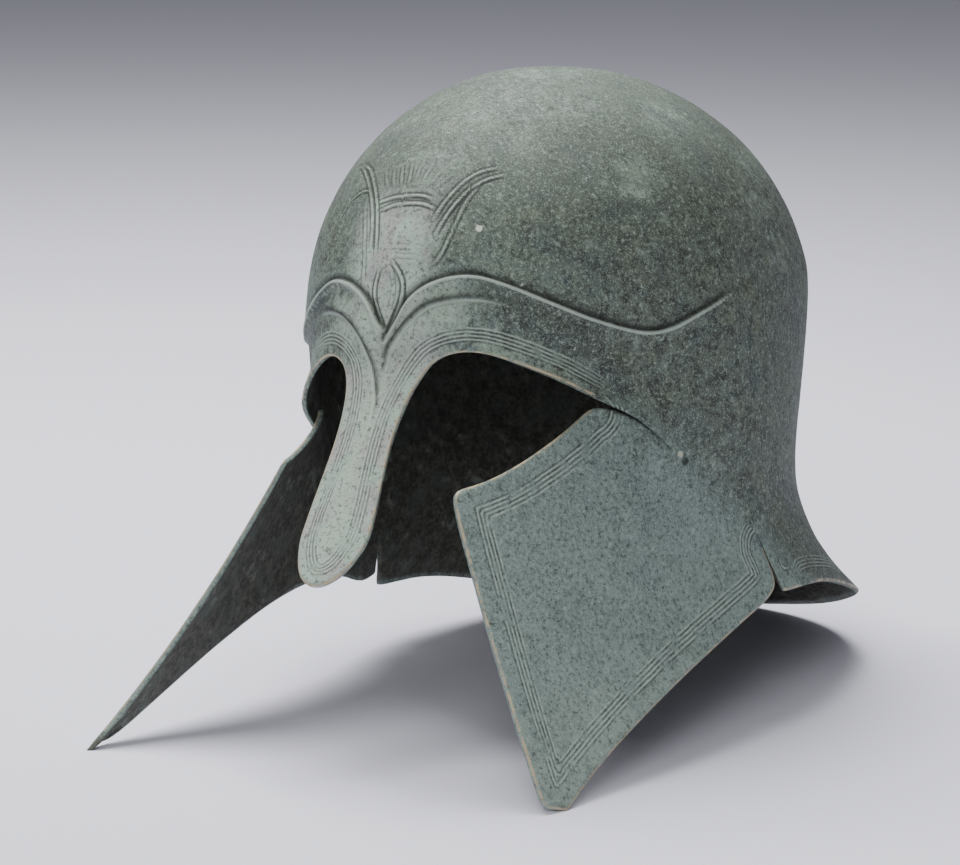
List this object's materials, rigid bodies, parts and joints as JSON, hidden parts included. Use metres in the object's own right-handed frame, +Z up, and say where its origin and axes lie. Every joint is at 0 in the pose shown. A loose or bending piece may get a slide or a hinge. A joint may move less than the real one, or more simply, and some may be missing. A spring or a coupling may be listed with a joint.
{
  "type": "corinthian helmet",
  "caption": "Bronze helmet of one hammered sheet with a nose guard, open eyes, splayed cheekpieces and a flared neck guard.",
  "frame": {"origin": "middle of the bounding box's bottom face, on the surface that the helmet rests on", "axes": "+Z up, the face towards -Y, the wearer's left side towards +X"},
  "size_m": [0.2034, 0.3378, 0.2426],
  "materials": {
    "patinated_bronze": "dull green and brown patina on old bronze"
  },
  "bodies": {
    "root": {"helmet_shell": "patinated_bronze"}
  },
  "joints": []
}
